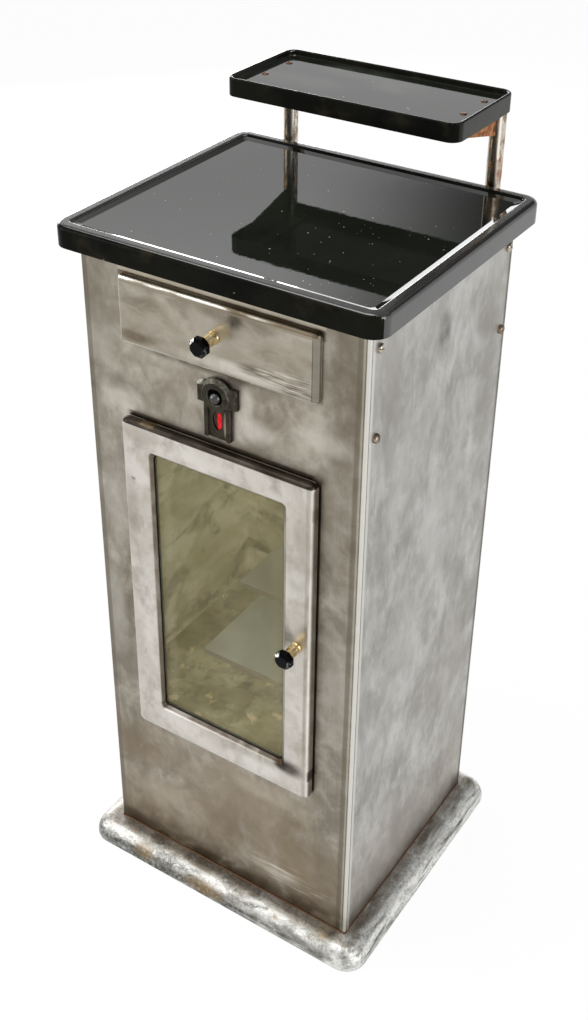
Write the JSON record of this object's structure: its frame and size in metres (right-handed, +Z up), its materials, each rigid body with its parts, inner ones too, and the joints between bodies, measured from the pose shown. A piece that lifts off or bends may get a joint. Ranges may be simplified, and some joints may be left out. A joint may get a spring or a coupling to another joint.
{
  "type": "medical cabinet",
  "caption": "Tall narrow steel cabinet on a flared base moulding, with a glazed cupboard door, a drawer, a switch plate with a pilot jewel, an enamelled top and a raised rear shelf.",
  "frame": {"origin": "on the floor, under the middle of the body and of the base moulding", "axes": "+Z up; the front with the drawer and the door faces -Y; the door's hinges are on the -X side"},
  "size_m": [0.4224, 0.4026, 1.0076],
  "materials": {
    "body_steel": "bare sheet steel, dull and stained",
    "door_steel": "bright brushed steel, worn at the edges",
    "moulding_metal": "bare casting, mottled and pitted",
    "inner_steel": "plain sheet steel, dull",
    "shelf_steel": "sheet steel with a dull grey-green film",
    "black_enamel": "glossy black vitreous enamel, chipped at the rims",
    "worn_chrome": "worn plating with specks of rust",
    "rusted_steel": "rusted steel",
    "screw_steel": "plain steel fasteners, some with rust",
    "knob_glass": "black pressed glass, faceted and polished",
    "brass": "polished brass",
    "spring_bronze": "dull spring bronze",
    "dark_casting": "dark cast plate, rubbed bright on its edges",
    "toggle_metal": "worn plating, dull",
    "window_glass": "bevelled plate glass, dusty",
    "jewel_glass": "red glass",
    "lamp_glass": "clear bulb on a brass base",
    "black_rubber": "black rubber, matt",
    "moulded_resin": "dark moulded resin"
  },
  "bodies": {
    "cabinet": {"back_panel": "body_steel", "base_plate": "inner_steel", "base_plate_screws": "screw_steel", "bottom_panel": "inner_steel", "cable_grommet": "black_rubber", "catch_clip": "spring_bronze", "clamp_bolts": "screw_steel", "clamp_nuts": "screw_steel", "cupboard_ceiling": "inner_steel", "cupboard_floor": "inner_steel", "door_bumpers": "black_rubber", "drawer_case": "inner_steel", "drawer_stop": "inner_steel", "enamel_top": "black_enamel", "escutcheon_nuts": "screw_steel", "front_panel": "body_steel", "hinge_plates": "inner_steel", "inner_shelf_lower": "shelf_steel", "inner_shelf_racks": "inner_steel", "inner_shelf_upper": "shelf_steel", "lamp_holder": "moulded_resin", "left_drawer_runner": "inner_steel", "left_post": "worn_chrome", "left_shelf_bracket": "rusted_steel", "left_side_panel": "body_steel", "pilot_bulb": "lamp_glass", "pilot_jewel": "jewel_glass", "plinth": "moulding_metal", "post_clamps": "inner_steel", "right_drawer_runner": "inner_steel", "right_post": "worn_chrome", "right_shelf_bracket": "rusted_steel", "right_side_panel": "body_steel", "shelf_screw_nuts": "screw_steel", "shelf_screws": "screw_steel", "side_screw_nuts": "screw_steel", "side_screws": "screw_steel", "switch_case": "moulded_resin", "switch_escutcheon": "dark_casting", "terminal_block": "moulded_resin", "toggle_pin": "screw_steel", "top_deck": "inner_steel", "upper_shelf": "black_enamel"},
    "drawer": {"drawer_front": "door_steel", "drawer_box": "inner_steel", "drawer_knob": "knob_glass", "drawer_knob_neck": "brass", "drawer_knob_screw": "screw_steel"},
    "door": {"door_frame": "door_steel", "door_glass": "window_glass", "glass_gasket": "black_rubber", "glass_retainer": "inner_steel", "glass_retainer_screws": "screw_steel", "door_knob": "knob_glass", "door_knob_neck": "brass", "door_knob_screw": "screw_steel", "hinge_lugs": "inner_steel", "hinge_pins": "screw_steel", "door_strike": "inner_steel"},
    "switch_lever": {"toggle_lever": "toggle_metal"}
  },
  "joints": [
    {"name": "drawer_slide", "type": "slide", "parent": "cabinet", "child": "drawer", "axis": [0, -1, 0], "range_m": [0, 0.2]},
    {"name": "door_hinge", "type": "hinge", "parent": "cabinet", "child": "door", "pos_m": [-0.1215, -0.162, 0.4665], "axis": [0, 0, -1], "range_deg": [0, 100]},
    {"name": "switch_toggle", "type": "hinge", "parent": "cabinet", "child": "switch_lever", "pos_m": [0, -0.1476, 0.7535], "axis": [-1, 0, 0], "range_deg": [0, 16]}
  ]
}
